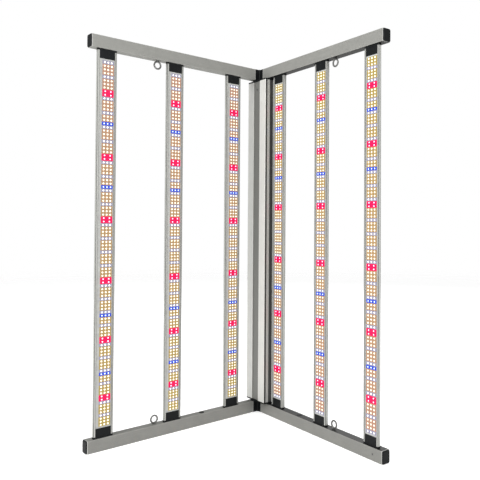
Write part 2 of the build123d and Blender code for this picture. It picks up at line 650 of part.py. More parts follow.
def dimmer_knob():
    """The round dimmer knob and its shaft, in one piece that turns."""
    base = DRIVER_BACK + KNOB_GAP
    place = Plane((DRIVER_MIDDLE, base, KNOB_HEIGHT), z_dir=(0, 1, 0))
    outline = Circle(KNOB_RADIUS) - [
        Rot(0, 0, 360 * n / KNOB_GRIPS) * Pos(KNOB_RADIUS, 0) * Circle(KNOB_GRIP_RADIUS)
        for n in range(KNOB_GRIPS)]
    knob = extrude(place * outline, amount=KNOB_LENGTH)
    top = Plane((DRIVER_MIDDLE, base + KNOB_LENGTH, KNOB_HEIGHT), z_dir=(0, 1, 0))
    pointer = top * Pos(0, KNOB_RADIUS / 2) * Rectangle(POINTER_WIDTH, KNOB_RADIUS)
    knob -= extrude(pointer, amount=-POINTER_DEPTH)
    shaft_start = DRIVER_BACK - DRIVER_WALL - SHAFT_REACH
    return knob + rod(SHAFT_RADIUS, (DRIVER_MIDDLE, shaft_start, KNOB_HEIGHT),
                      (DRIVER_MIDDLE, base, KNOB_HEIGHT))


def potentiometer():
    """The dimmer's control, inside the housing behind the knob."""
    width, depth, height = POTENTIOMETER_SIZE
    back = DRIVER_BACK - DRIVER_WALL
    body = block((DRIVER_MIDDLE - width / 2, back - depth, KNOB_HEIGHT - height / 2),
                 (DRIVER_MIDDLE + width / 2, back, KNOB_HEIGHT + height / 2))
    bore_start = back - SHAFT_REACH - SHAFT_FIT
    return body - rod(SHAFT_RADIUS + SHAFT_FIT, (DRIVER_MIDDLE, bore_start, KNOB_HEIGHT),
                      (DRIVER_MIDDLE, back + 1, KNOB_HEIGHT))


# ---- Assembly ----

def wing(side):
    """Every piece of one wing, drawn flat, by name."""
    is_right = side == "right"
    bottom = bottom_beam(True, is_right, False)
    top = bottom_beam(False, False, is_right)
    if is_right:
        bottom -= driver_screw_hole()
        bottom -= feed_hole(BEAM_HEIGHT + 1)
        top -= driver_screw_hole()
    leaf = hinge_leaf(not is_right)
    loom_start = LEAF_LENGTH + LEAF_PLUG_LENGTH + 2
    pieces = {
        "bottom_beam": bottom,
        "top_beam": at_top(top),
        "bottom_end_cap": end_cap(),
        "top_end_cap": at_top(end_cap()),
        "bottom_hinge_leaf": leaf,
        "top_hinge_leaf": at_top(leaf),
        "bottom_eye": eye_bolt(),
        "top_eye": at_top(eye_bolt()),
        "eye_nuts": [eye_nut(), at_top(eye_nut())],
        "wire_plug": wire_plug(),
        "wiring_loom": wiring_loom(FEED_POSITION if is_right else loom_start, is_right),
    }
    screws = leaf_screws() + [at_top(s) for s in leaf_screws()]
    for name, centre in zip(BAR_NAMES, BAR_CENTRES):
        pieces[name + "_bar"] = light_bar(centre)
        pieces[name + "_led_board"] = led_board(centre)
        pieces[name + "_bar_connectors"] = [connector(centre, True), at_top(connector(centre, False))]
        screws += [long_screw(centre), at_top(long_screw(centre))]
    if is_right:
        screws += [cap_screw(), at_top(clip_screw())]
    pieces["screws"] = screws
    return pieces


def driver():
    """Every piece of the driver, drawn in the right wing's flat frame, by name."""
    beam_screw = long_screw(DRIVER_SCREW_POSITION, DRIVER_FIXING_DEPTH, DRIVER_SCREW_TOP)
    return {
        "driver_housing": driver_housing(),
        "driver_bottom_cover": end_cover(True),
        "driver_top_cover": at_top(end_cover(False)),
        "driver_gaskets": [gasket(), at_top(gasket())],
        "driver_bottom_mount": mount_block(True),
        "driver_top_mount": at_top(mount_block(False)),
        "driver_screws": driver_screws() + [beam_screw, at_top(beam_screw)],
        "circuit_board": circuit_board(),
        "transformers": transformers(),
        "capacitors": capacitors(),
        "heat_spreader": heat_spreader(),
        "mains_inlet": mains_inlet(),
        "dimmer_knob": dimmer_knob(),
        "potentiometer": potentiometer(),
        "hinge_pins": hinge_pins(),
    }


def turned(shape, mirrored):
    """A flat piece, or list of pieces, turned about the hinge axis into its wing's plane."""
    solids = shape if isinstance(shape, list) else [shape]
    if mirrored:
        solids = [mirror(s, about=Plane.YZ) for s in solids]
        return [Rot(0, 0, TURN) * s for s in solids]
    return [Rot(0, 0, -TURN) * s for s in solids]


nodes = {}
for side in ("right", "left"):
    for name, shape in wing(side).items():
        nodes[f"{side}_{name}"] = turned(shape, side == "left")
for name, shape in driver().items():
    nodes[name] = turned(shape, False)

# The origin is on the ground, in the middle of the object's footprint.
extent = Compound([solid for solids in nodes.values() for solid in solids]).bounding_box()
to_origin = Pos(-(extent.min.X + extent.max.X) / 2, -(extent.min.Y + extent.max.Y) / 2, 0)
for name, solids in nodes.items():
    placed = [to_origin * solid for solid in solids]
    shape = placed[0] if len(placed) == 1 else Compound(children=placed)
    export_step(shape, f"parts/{name}.step")

print("nodes", len(nodes))
print("hinge axis at", [round(v, 3) for v in to_origin.position])
print("size", [round(v, 1) for v in extent.size])
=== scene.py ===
import bmesh
import bpy
import json
import math
from mathutils import Matrix, Vector


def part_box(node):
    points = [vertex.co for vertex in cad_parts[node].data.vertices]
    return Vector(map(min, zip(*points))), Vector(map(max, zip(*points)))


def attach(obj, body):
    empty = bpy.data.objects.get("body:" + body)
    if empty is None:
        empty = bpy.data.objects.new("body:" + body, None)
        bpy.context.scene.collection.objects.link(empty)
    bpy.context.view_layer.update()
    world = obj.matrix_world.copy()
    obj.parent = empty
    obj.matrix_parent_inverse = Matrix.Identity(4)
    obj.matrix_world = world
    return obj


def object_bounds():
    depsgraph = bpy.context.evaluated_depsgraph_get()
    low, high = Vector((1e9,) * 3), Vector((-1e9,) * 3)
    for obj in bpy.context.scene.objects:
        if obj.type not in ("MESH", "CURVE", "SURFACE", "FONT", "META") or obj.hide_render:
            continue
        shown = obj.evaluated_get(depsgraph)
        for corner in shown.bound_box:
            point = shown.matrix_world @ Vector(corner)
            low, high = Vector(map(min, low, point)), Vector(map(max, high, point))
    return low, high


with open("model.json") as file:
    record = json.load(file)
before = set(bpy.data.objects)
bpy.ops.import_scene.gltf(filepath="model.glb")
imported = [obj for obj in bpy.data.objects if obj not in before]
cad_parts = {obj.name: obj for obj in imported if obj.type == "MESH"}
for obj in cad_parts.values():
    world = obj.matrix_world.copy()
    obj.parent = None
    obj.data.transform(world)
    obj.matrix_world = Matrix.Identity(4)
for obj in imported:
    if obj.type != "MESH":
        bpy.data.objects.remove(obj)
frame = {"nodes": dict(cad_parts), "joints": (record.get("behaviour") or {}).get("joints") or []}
cad_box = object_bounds()


# ---- Studio ----
# A plain pale floor under an even white surround, with two large soft lights in front
# of the object and a weak one behind it. The floor fades into the surround far out.

CAMERA_PLACE = (0.3121, -1.7544, 0.6013)
CAMERA_LENS = 45.45
CAMERA_SHIFT = (-0.1463, -0.0585)
CAMERA_TURN = math.radians(4.286)
CAMERA_TILT = math.radians(1.134)
CAMERA_ROLL = math.radians(0.275)
LIGHT_SIZE = 1.6
LIGHT_TARGET = (0, 0, 0.6)
FLOOR_RADIUS = 9
FLOOR_DROP = 0.0005
FLOOR_COLOUR = (0.86, 0.86, 0.86, 1)
FLOOR_FADE = (2.2, 7.0)
FLOOR_GLOW = 0.45
AMBIENT = 0.5
BACKDROP_WHITE = 1.0

camera_data = bpy.data.cameras.new("camera")
camera_data.lens = CAMERA_LENS
camera_data.sensor_width = 36
camera_data.shift_x, camera_data.shift_y = CAMERA_SHIFT
camera = bpy.data.objects.new("camera", camera_data)
bpy.context.scene.collection.objects.link(camera)
camera.matrix_world = (Matrix.Translation(CAMERA_PLACE) @ Matrix.Rotation(CAMERA_TURN, 4, "Z")
                       @ Matrix.Rotation(math.pi / 2 + CAMERA_TILT, 4, "X")
                       @ Matrix.Rotation(CAMERA_ROLL, 4, "Z"))
bpy.context.scene.camera = camera
bpy.context.scene.view_settings.view_transform = "Standard"


def soft_light(name, place, power):
    """A square soft light that faces the middle of the object."""
    data = bpy.data.lights.new(name, "AREA")
    data.shape = "SQUARE"
    data.size = LIGHT_SIZE
    data.energy = power
    light = bpy.data.objects.new(name, data)
    bpy.context.scene.collection.objects.link(light)
    direction = Vector(LIGHT_TARGET) - Vector(place)
    light.location = place
    light.rotation_euler = direction.to_track_quat("-Z", "Y").to_euler()


soft_light("key_light", (-2.6, -2.9, 2.5), 175)
soft_light("fill_light", (2.8, -2.8, 1.9), 92)
soft_light("back_light", (0.6, 3.4, 2.2), 40)


class Shade:
    """A socket in a node tree that adds, multiplies and compares as a number does."""

    def __init__(self, tree, socket=None):
        self.tree = tree
        self.socket = socket

    def node(self, kind, settings, sockets, output=0):
        """Any node: its settings are set first, then its sockets' values or links."""
        new = self.tree.nodes.new(kind)
        for name, value in settings.items():
            setattr(new, name, value)
        for key, value in sockets.items():
            if isinstance(value, Shade):
                self.tree.links.new(value.socket, new.inputs[key])
            else:
                new.inputs[key].default_value = value
        return Shade(self.tree, new.outputs[output])

    def feed(self, shader, name):
        """Links the value to a socket of a shader."""
        self.tree.links.new(self.socket, shader.inputs[name])

    def math(self, operation, *values):
        """A Math node on these values."""
        return self.node("ShaderNodeMath", {"operation": operation}, dict(enumerate(values)))

    def __add__(self, other):
        return self.math("ADD", self, other)

    def __radd__(self, other):
        return self.math("ADD", other, self)

    def __sub__(self, other):
        return self.math("SUBTRACT", self, other)

    def __rsub__(self, other):
        return self.math("SUBTRACT", other, self)

    def __mul__(self, other):
        return self.math("MULTIPLY", self, other)

    def __rmul__(self, other):
        return self.math("MULTIPLY", other, self)

    def __truediv__(self, other):
        return self.math("DIVIDE", self, other)

    def __mod__(self, other):
        return self.math("MODULO", self, other)

    def __abs__(self):
        return self.math("ABSOLUTE", self)

    def __gt__(self, other):
        return self.math("GREATER_THAN", self, other)

    def __lt__(self, other):
        return self.math("LESS_THAN", self, other)

    def equals(self, value, reach=0.5):
        """One where the value is within reach, and zero elsewhere."""
        return self.math("COMPARE", self, value, reach)

    def blend(self, low, high):
        """Zero below low, one above high, and a smooth change between them."""
        return self.node("ShaderNodeMapRange", {"interpolation_type": "SMOOTHSTEP"},
                         {"Value": self, "From Min": low, "From Max": high})

    def between(self, first, second):
        """The first colour where the value is zero, and the second where it is one."""
        colours = [c if isinstance(c, Shade) else (*c, 1) for c in (first, second)]
        return self.node("ShaderNodeMix", {"data_type": "RGBA", "clamp_factor": True},
                         {0: self, 6: colours[0], 7: colours[1]}, 2)

    def noise(self, vector, size, detail=3.0):
        """Grain of about that size, in metres."""
        return self.node("ShaderNodeTexNoise", {},
                         {"Vector": vector, "Scale": 1 / size, "Detail": detail}, "Fac")


def start_material(name):
    """A new material, the start of its node expressions, and its shader."""
    material = bpy.data.materials.new(name)
    material.use_nodes = True
    tree = material.node_tree
    return material, Shade(tree), tree.nodes["Principled BSDF"]


def object_place(shade):
    """Where a point of the surface is, in metres from the object's origin."""
    return shade.node("ShaderNodeTexCoord", {}, {}, "Object")


world = bpy.data.worlds.new("surround")
world.use_nodes = True
bpy.context.scene.world = world
background = world.node_tree.nodes["Background"]
background.inputs["Color"].default_value = (1, 1, 1, 1)
seen_directly = Shade(world.node_tree).node("ShaderNodeLightPath", {}, {}, "Is Camera Ray")
(seen_directly * (BACKDROP_WHITE - AMBIENT) + AMBIENT).feed(background, "Strength")

floor_material, floor_shade, floor_shader = start_material("pale_floor")
floor_shader.inputs["Base Color"].default_value = FLOOR_COLOUR
floor_shader.inputs["Roughness"].default_value = 0.7
floor_shader.inputs["Emission Color"].default_value = (1, 1, 1, 1)
floor_shader.inputs["Emission Strength"].default_value = FLOOR_GLOW
floor_distance = floor_shade.node("ShaderNodeVectorMath", {"operation": "LENGTH"},
                                  {0: object_place(floor_shade)}, "Value")
(1 - floor_distance.blend(*FLOOR_FADE)).feed(floor_shader, "Alpha")

floor_mesh = bpy.data.meshes.new("floor")
floor_shape = bmesh.new()
bmesh.ops.create_circle(floor_shape, cap_ends=True, segments=96, radius=FLOOR_RADIUS)
bmesh.ops.translate(floor_shape, verts=floor_shape.verts, vec=(0, 0, -FLOOR_DROP))
floor_shape.to_mesh(floor_mesh)
floor_shape.free()
floor_mesh.materials.append(floor_material)
floor = bpy.data.objects.new("floor", floor_mesh)
bpy.context.scene.collection.objects.link(floor)


# ---- Cross beams ----
# Four rectangular tubes of extruded aluminium, two to a wing, satin anodised a warm grey,
# with bright sawn edges. A real one's finish is even: the darker bottom beams and inner
# faces here stand for the shade on them.

MILLIMETRE = 0.001
SIDES = ("right", "left")
LEVELS = ("bottom", "top")
fold = next(joint for joint in frame["joints"] if joint["name"] == "wing_fold")
HINGE = Vector((fold["pos_m"][0], fold["pos_m"][1], 0))
WING_TURN = math.radians((180 - fold["range_deg"][1]) / 2)
TURN = {"right": -WING_TURN, "left": WING_TURN}
OUTWARD = {"right": 1, "left": -1}
HEIGHT = cad_box[1][2]
ON_FACE = 0.3 * MILLIMETRE      # how near a face a point counts as on it
BEAM_HALF = 17 * MILLIMETRE
BEAM_DEPTH = 26 * MILLIMETRE
BEAM_FRONT = 0.4 * MILLIMETRE   # behind the hinge's axis
BEAM_ENDS = (17 * MILLIMETRE, 556 * MILLIMETRE)     # out from the hinge's axis
CUT_EDGE = 1.2 * MILLIMETRE
BEAM_COLOUR = (0.262, 0.262, 0.243)
BEAM_DARK = (0.215, 0.215, 0.202)
BEAM_RUBBED = (0.42, 0.42, 0.40)
BEAM_SAWN = (0.55, 0.55, 0.53)
LOW_SHADE_TONE = 0.82         # of the top beams' tone, on the bottom ones
INNER_SHADE_TONE = {"right": 0.09, "left": 0.88}      # of the front's, on the face towards the bars


def finish_material(shade, shader, colour, roughness, height=None, depth=None):
    """Links what varies over the surface to the shader."""
    colour.feed(shader, "Base Color")
    roughness.feed(shader, "Roughness")
    if height is not None:
        bump = shade.node("ShaderNodeBump", {}, {"Height": height, "Strength": 1.0, "Distance": depth})
        bump.feed(shader, "Normal")


def toned(colour, share):
    """A colour with only a share of its tone."""
    return [share * part for part in colour]


def wing_point(shade, side):
    """A wing's own coordinates: out from the hinge, back from the lit face, and up."""
    centred = shade.node("ShaderNodeVectorMath", {"operation": "SUBTRACT"},
                         {0: object_place(shade), 1: tuple(HINGE)})
    turned = shade.node("ShaderNodeMapping", {}, {"Vector": centred, "Rotation": (0, 0, -TURN[side])})
    outward = shade.node("ShaderNodeVectorMath", {"operation": "MULTIPLY"},
                         {0: turned, 1: (OUTWARD[side], 1, 1)})
    parts = shade.node("ShaderNodeSeparateXYZ", {}, {"Vector": outward})
    axes = [Shade(shade.tree, socket) for socket in parts.socket.node.outputs]
    return outward, *axes


def stretched(shade, vector, scale):
    """The same coordinates, shrunk along some axes so that grain is drawn out along them."""
    return shade.node("ShaderNodeMapping", {}, {"Vector": vector, "Scale": scale})


def anodised_beam(side):
    """Satin anodised tube: fine blasted grain, faint drawing lines, rubbed corners, and painted shade
    on the bottom beams and the inner faces.
    """
    material, shade, shader = start_material(f"{side}_anodised_beam")
    point, out, back, up = wing_point(shade, side)
    grain = shade.noise(point, 0.0011)
    mottle = shade.noise(point, 0.03)
    lines = shade.noise(stretched(shade, point, (0.01, 1, 1)), 0.0012)
    low_beam = up < HEIGHT / 2
    level = low_beam * up + (1 - low_beam) * (HEIGHT - up)
    height = abs(level - BEAM_HALF) / BEAM_HALF
    inner = level > 2 * BEAM_HALF - ON_FACE
    depth = abs(back - BEAM_FRONT - BEAM_DEPTH / 2) / (BEAM_DEPTH / 2)
    rubbed = height.math("MINIMUM", height, depth).blend(0.86, 0.99)
    cut = (out < BEAM_ENDS[0] + CUT_EDGE) + (out > BEAM_ENDS[1] - CUT_EDGE)
    tone = (grain * 0.55 + mottle * 0.25 + lines * 0.2).blend(0.3, 0.7)
    # painted shade: the bottom beams are darker than the top ones
    low_shaded_colour = tone.between(toned(BEAM_DARK, LOW_SHADE_TONE), toned(BEAM_COLOUR, LOW_SHADE_TONE))
    colour = low_beam.between(tone.between(BEAM_DARK, BEAM_COLOUR), low_shaded_colour)
    colour = (rubbed * mottle * 0.7).between(colour, BEAM_RUBBED)
    # painted shade on the faces towards the bars, far darker on the right wing
    colour = inner.between(colour, toned(BEAM_COLOUR, INNER_SHADE_TONE[side]))
    colour = (cut * 0.8).between(colour, BEAM_SAWN)
    shader.inputs["Metallic"].default_value = 0.3
    shader.inputs["Specular IOR Level"].default_value = 0.15
    finish_material(shade, shader, colour, 0.42 + grain * 0.16, grain * 0.6 + lines * 0.4, 0.00006)
    return material


for side in SIDES:
    beam_material = anodised_beam(side)
    for level in LEVELS:
        frame["nodes"][f"{side}_{level}_beam"].material_slots[0].material = beam_material


# ---- Moulded black parts ----
# End caps, hinge leaves, bar connectors, wire plugs, driver covers and mounting blocks:
# glass-filled nylon from the mould, with a fine spark-eroded texture and a dull sheen.

BLACK = (0.0014, 0.0022, 0.0027)
BLACK_WORN = (0.0045, 0.0060, 0.0070)


def moulded_black(name, grain_size=0.0006, shine=0.5):
    """Black nylon with fine texture, faint flow marks and a little handling wear."""
    material, shade, shader = start_material(name)
    place = object_place(shade)
    grain = shade.noise(place, grain_size, 4.0)
    flow = shade.noise(stretched(shade, place, (1, 1, 0.3)), 0.02)
    wear = (flow * 0.6 + grain * 0.4).blend(0.5, 0.72)
    shader.inputs["Specular IOR Level"].default_value = 0.17
    finish_material(shade, shader, wear.between(BLACK, BLACK_WORN),
                    shine + grain * 0.2 - flow * 0.1, grain, 0.00008)
    return material


black_material = moulded_black("moulded_black")
for side in SIDES:
    for level in LEVELS:
        for part in ("end_cap", "hinge_leaf"):
            frame["nodes"][f"{side}_{level}_{part}"].material_slots[0].material = black_material
    frame["nodes"][f"{side}_wire_plug"].material_slots[0].material = black_material
    for bar in ("inner", "middle", "outer"):
        frame["nodes"][f"{side}_{bar}_bar_connectors"].material_slots[0].material = black_material
for level in LEVELS:
    frame["nodes"][f"driver_{level}_cover"].material_slots[0].material = black_material
    frame["nodes"][f"driver_{level}_mount"].material_slots[0].material = black_material


# ---- Light bars ----
# Six finned extrusions, three to a wing, in a paler anodising than the beams, with fine
# lines from the die. Thin dark lines of painted shade run in the grooves along the corners
# and at the recess's rim, and the darker lip nearer the hinge stands for the shade on it.

BAR_NAMES = ("inner", "middle", "outer")
BAR_COLOUR = (0.420, 0.422, 0.398)
BAR_DARK = (0.340, 0.342, 0.322)
BAR_GROOVE_SHADE = (0.095, 0.096, 0.090)
BAR_HALF = 26.8 * MILLIMETRE
BAR_FRONT = BEAM_FRONT + 3.3 * MILLIMETRE
BAR_PLATE = 7.2 * MILLIMETRE        # how deep the full width goes before the rear edge's groove
RECESS_HALF = 21.15 * MILLIMETRE
RECESS_RIM = 1.2 * MILLIMETRE
CORNER_WIDTH = 1.5 * MILLIMETRE
CORNER_DEPTH = 1.3 * MILLIMETRE
LIP_SHADE_TONE = 0.8          # of the tone of the rest, on the lip nearer the hinge


def flat_middle(node, side):
    """The middle of a piece, in its wing's own coordinates."""
    low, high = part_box(node)
    offset = (low + high) / 2 - HINGE
    turned = Matrix.Rotation(-TURN[side], 3, "Z") @ Vector((offset.x, offset.y, 0))
    return Vector((turned.x * OUTWARD[side], turned.y, offset.z))


def anodised_bar(side, bar):
    """Pale satin extrusion with long die lines and a faint mottle, and painted shade in the corner
    grooves, at the rim and on one lip.
    """
    material, shade, shader = start_material(f"{side}_{bar}_anodised_bar")
    point, out, back, _ = wing_point(shade, side)
    grain = shade.noise(point, 0.0010)
    lines = shade.noise(stretched(shade, point, (1, 1, 0.004)), 0.0009)
    mottle = shade.noise(point, 0.04)
    tone = grain * 0.3 + lines * 0.45 + mottle * 0.25
    colour = tone.blend(0.34, 0.66).between(BAR_DARK, BAR_COLOUR)
    across = out - flat_middle(f"{side}_{bar}_led_board", side).x
    behind = back - BAR_FRONT
    front = behind < ON_FACE
    shaded_lip = (across < -RECESS_HALF) * front
    # painted shade on the lip nearer the hinge
    colour = shaded_lip.between(colour, toned(BAR_DARK, LIP_SHADE_TONE))
    sideways = abs(across)
    corner = (sideways > BAR_HALF - CORNER_WIDTH) * (behind < CORNER_DEPTH)
    rear_edge = (sideways > BAR_HALF - ON_FACE) * (behind > BAR_PLATE)
    rim = (sideways < RECESS_HALF + RECESS_RIM) * front
    # painted shade as thin dark lines in the corner grooves, along the rear edges and at the recess's
    # rim
    groove = corner.math("MAXIMUM", corner, rear_edge)
    colour = groove.between(colour, BAR_GROOVE_SHADE)
    colour = (rim * 0.7).between(colour, BAR_GROOVE_SHADE)
    shader.inputs["Metallic"].default_value = 0.3
    finish_material(shade, shader, colour, 0.38 + lines * 0.2, lines * 0.7 + grain * 0.3, 0.00006)
    return material


for side in SIDES:
    for bar in BAR_NAMES:
        frame["nodes"][f"{side}_{bar}_bar"].material_slots[0].material = anodised_bar(side, bar)


# ---- LED boards ----
# A white-masked aluminium board lies in each bar's recess, with 108 rows of LEDs. The LEDs'
# light on the mask is painted light: amber, lilac, red or blue, with a halo round each LED.

BOARD_THICKNESS = 1.6 * MILLIMETRE
ROWS = 108
ROW_PITCH = 9.0 * MILLIMETRE
LED_RUN = ROWS * ROW_PITCH
ROW_SPREAD = 0.09       # the rows are this share wider apart where they start
COLUMN_PITCH = {"right": 11.4 * MILLIMETRE, "left": 9.8 * MILLIMETRE}
LED_OFFSET = {"right": 0, "left": -3.3 * MILLIMETRE}
RED_SPREAD = 0.8        # of the column pitch, either side of the middle
FIELD_SPREAD = 1.65     # the tinted part of the mask, in the same way
PATTERN = 18            # rows after which the planting of LEDs repeats
COOL_ROWS = (0, 4, 10, 14)
RED_ROWS = (8, 9)
BLUE_ROWS = (17, 35, 73, 91)
MASK_WHITE = (0.400, 0.408, 0.385)
MASK_GREY = (0.36, 0.36, 0.35)
MASK_PAINTED_GLOW = (0.05, 0.05, 0.05)
PAINTED_LIGHT_SHARE = 0.48      # of a tint, painted into the mask's base colour beneath its glow as painted light
AMBER_START = (0.500, 0.265, 0.185)
AMBER_END = (0.450, 0.345, 0.085)
LILAC = (0.330, 0.320, 0.440)
CRIMSON = (0.960, 0.003, 0.110)
COBALT = (0.035, 0.085, 0.700)
HALO = (0.980, 0.900, 0.780)
HALO_REACH = (2.4 * MILLIMETRE, 4.6 * MILLIMETRE)


def led_middle(side, bar):
    """The middle of the LEDs on a board's front face, in its wing's own coordinates."""
    middle = flat_middle(f"{side}_{bar}_led_board", side)
    return middle + Vector((LED_OFFSET[side], -BOARD_THICKNESS / 2, 0))


def row_place(shade, up, side, middle):
    """How far along the LED rows a point is, in rows: it undoes the uneven spacing of led_places."""
    share = (up - middle) * OUTWARD[side] / LED_RUN + 0.5
    widest = 1 + ROW_SPREAD
    root = share.math("SQRT", widest * widest - share * (4 * ROW_SPREAD))
    return (widest - root) * (ROWS / (2 * ROW_SPREAD))


def lit_board(side, bar):
    """The board's mask: mottled grey-white at its edges, with painted light around the LEDs in its
    colour and in a glow.
    """
    centre = led_middle(side, bar)
    material, shade, shader = start_material(f"{side}_{bar}_lit_board")
    point, out, _, up = wing_point(shade, side)
    across = out - centre.x
    pitch = COLUMN_PITCH[side]
    along = row_place(shade, up, side, centre.z)
    row = along.math("FLOOR", along)
    step = row % PATTERN
    red = step.equals(sum(RED_ROWS) / 2, 0.9)
    cool = sum((step.equals(r) for r in COOL_ROWS[1:]), step.equals(COOL_ROWS[0]))
    blue = sum((row.equals(r) for r in BLUE_ROWS[1:]), row.equals(BLUE_ROWS[0]))
    column = across / pitch + 2.5
    dx = (column.math("FRACT", column) - 0.5) * pitch
    red_dx = abs(across) - RED_SPREAD * pitch
    dx = dx * (1 - red) + red_dx * red
    dz = (along.math("FRACT", along) - 0.5) * ROW_PITCH
    distance = dx.math("SQRT", dx * dx + dz * dz)
    field = (abs(across) < FIELD_SPREAD * pitch) * (along > 0) * (along < ROWS)
    amber = (along / ROWS).between(AMBER_START, AMBER_END)
    tint = cool.between(amber, LILAC)
    # a painted halo of light round each LED
    halo = 1 - distance.blend(*HALO_REACH)
    tint = (halo * 0.4).between(tint, HALO)
    tint = red.between(tint, CRIMSON)
    tint = blue.between(tint, COBALT)
    mottle = shade.noise(point, 0.012)
    mask = mottle.blend(0.35, 0.65).between(MASK_GREY, MASK_WHITE)
    # painted light: a share of the LEDs' tint goes into the mask's base colour around them
    painted_light = shade.node("ShaderNodeMix", {"data_type": "RGBA", "blend_type": "MULTIPLY"},
                       {0: 1.0, 6: tint, 7: (PAINTED_LIGHT_SHARE, PAINTED_LIGHT_SHARE, PAINTED_LIGHT_SHARE, 1)}, 2)
    colour = field.between(mask, painted_light)
    # painted glow: the mask glows in the LEDs' colours around them, and faintly all over
    field.between(MASK_PAINTED_GLOW, tint).feed(shader, "Emission Color")
    shader.inputs["Emission Strength"].default_value = 0.35
    shader.inputs["Specular IOR Level"].default_value = 0.2
    grain = shade.noise(point, 0.0008)
    finish_material(shade, shader, colour, 0.35 + mottle * 0.2, grain, 0.00003)
    return material


for side in SIDES:
    for bar in BAR_NAMES:
        frame["nodes"][f"{side}_{bar}_led_board"].material_slots[0].material = lit_board(side, bar)


# ---- LEDs ----
# Surface-mounted packages: a square body with a low round lens, soldered on its back.
# Warm and cool white, deep red and blue, each colour of each board made as one piece.

PACKAGE_SIZE = (5.0 * MILLIMETRE, 0.7 * MILLIMETRE, 4.6 * MILLIMETRE)
LENS_RADIUS = 2.0 * MILLIMETRE
LENS_HEIGHT = 0.5 * MILLIMETRE
LENS_TAPER = 0.7        # of the radius, at the lens's top
LENS_SEGMENTS = 10
PACKAGE_BEVEL = 0.25 * MILLIMETRE
LED_GLOW = {
    "warm": ((1.0, 0.955, 0.86), (1.0, 0.96, 0.70)),
    "cool": ((0.94, 0.97, 1.0), (0.97, 0.97, 0.93)),
    "red": ((1.0, 0.62, 0.80), (1.0, 0.62, 0.80)),
    "blue": ((0.62, 0.75, 1.0), (0.62, 0.75, 1.0)),
}
LED_BODY = {"warm": (0.78, 0.52, 0.33), "cool": (0.55, 0.52, 0.66),
            "red": (0.90, 0.03, 0.16), "blue": (0.07, 0.13, 0.78)}


def led_material(colour, part):
    """The lens or the body of one colour of LED, lit from inside."""
    material, shade, shader = start_material(f"{colour}_led_{part}")
    spots = shade.noise(object_place(shade), 0.006)
    if part == "lens":
        start, end = LED_GLOW[colour]
        glow = spots.blend(0.35, 0.65).between(start, end)
        shader.inputs["Emission Strength"].default_value = 1.0
        base = spots.between(start, end)
        shader.inputs["Coat Weight"].default_value = 0.3
    else:
        tone = LED_BODY[colour]
        glow = spots.between(tone, toned(tone, 0.9))
        shader.inputs["Emission Strength"].default_value = 0.35
        base = spots.between(toned(tone, 0.5), toned(tone, 0.45))
    glow.feed(shader, "Emission Color")
    finish_material(shade, shader, base, 0.3 + spots * 0.2)
    material.cycles.emission_sampling = "NONE"      # the lamps light the scene, not each small lens
    return material


def led_package():
    """One package, its back on the origin's plane and its lens towards -Y."""
    shape = bmesh.new()
    bmesh.ops.create_cube(shape, size=1)
    bmesh.ops.scale(shape, verts=shape.verts, vec=PACKAGE_SIZE)
    bmesh.ops.translate(shape, verts=shape.verts, vec=(0, -PACKAGE_SIZE[1] / 2, 0))
    front = [e for e in shape.edges if all(v.co.y < -PACKAGE_SIZE[1] / 2 for v in e.verts)]
    bmesh.ops.bevel(shape, geom=front, affect="EDGES", offset=PACKAGE_BEVEL, segments=1,
                    profile=0.5, material=-1)
    lens_place = Matrix.Translation((0, -PACKAGE_SIZE[1] - LENS_HEIGHT / 2, 0))
    lens_place @= Matrix.Rotation(math.pi / 2, 4, "X")
    lens = bmesh.ops.create_cone(shape, cap_ends=True, segments=LENS_SEGMENTS, radius1=LENS_RADIUS,
                                 radius2=LENS_RADIUS * LENS_TAPER, depth=LENS_HEIGHT, matrix=lens_place)
    for face in {f for v in lens["verts"] for f in v.link_faces}:
        face.material_index = 1
    mesh = bpy.data.meshes.new("led_package")
    shape.to_mesh(mesh)
    shape.free()
    return mesh


def row_colour(row):
    """The colour of the LEDs in one row of a board."""
    if row in BLUE_ROWS:
        return "blue"
    if row % PATTERN in RED_ROWS:
        return "red"
    return "cool" if row % PATTERN in COOL_ROWS else "warm"


def led_places(side, bar, colour):
    """Where the LEDs of one colour stand on a board, in its wing's own coordinates."""
    centre = led_middle(side, bar)
    shares = (-RED_SPREAD, RED_SPREAD) if colour == "red" else (-1, 0, 1)
    offsets = [share * COLUMN_PITCH[side] for share in shares]
    places = []
    for row in range(ROWS):
        if row_colour(row) == colour:
            start = (row + 0.5) / ROWS
            share = start + ROW_SPREAD * start * (1 - start)
            height = (share - 0.5) * LED_RUN * OUTWARD[side]
            places += [centre + Vector((x, 0, height)) for x in offsets]
    return places


def wing_matrix(side):
    """From a wing's own coordinates to the object's."""
    return (Matrix.Translation(HINGE) @ Matrix.Rotation(TURN[side], 4, "Z")
            @ Matrix.Scale(OUTWARD[side], 4, (1, 0, 0)))


def plant_leds(side, bar, colour, package, materials):
    """All the LEDs of one colour on one board, as one piece that rides with the wing."""
    shape = bmesh.new()
    for place in led_places(side, bar, colour):
        count = len(shape.verts)
        shape.from_mesh(package)
        shape.verts.ensure_lookup_table()
        bmesh.ops.translate(shape, verts=shape.verts[count:], vec=place)
    bmesh.ops.transform(shape, matrix=wing_matrix(side), verts=shape.verts)
    bmesh.ops.recalc_face_normals(shape, faces=shape.faces)
    mesh = bpy.data.meshes.new(f"{side}_{bar}_{colour}_leds")
    shape.to_mesh(mesh)
    shape.free()
    for material in materials:
        mesh.materials.append(material)
    piece = bpy.data.objects.new(mesh.name, mesh)
    bpy.context.scene.collection.objects.link(piece)
    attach(piece, f"{side}_wing")


package = led_package()
for colour in LED_GLOW:
    led_materials = [led_material(colour, "body"), led_material(colour, "lens")]
    for side in SIDES:
        for bar in BAR_NAMES:
            plant_leds(side, bar, colour, package, led_materials)


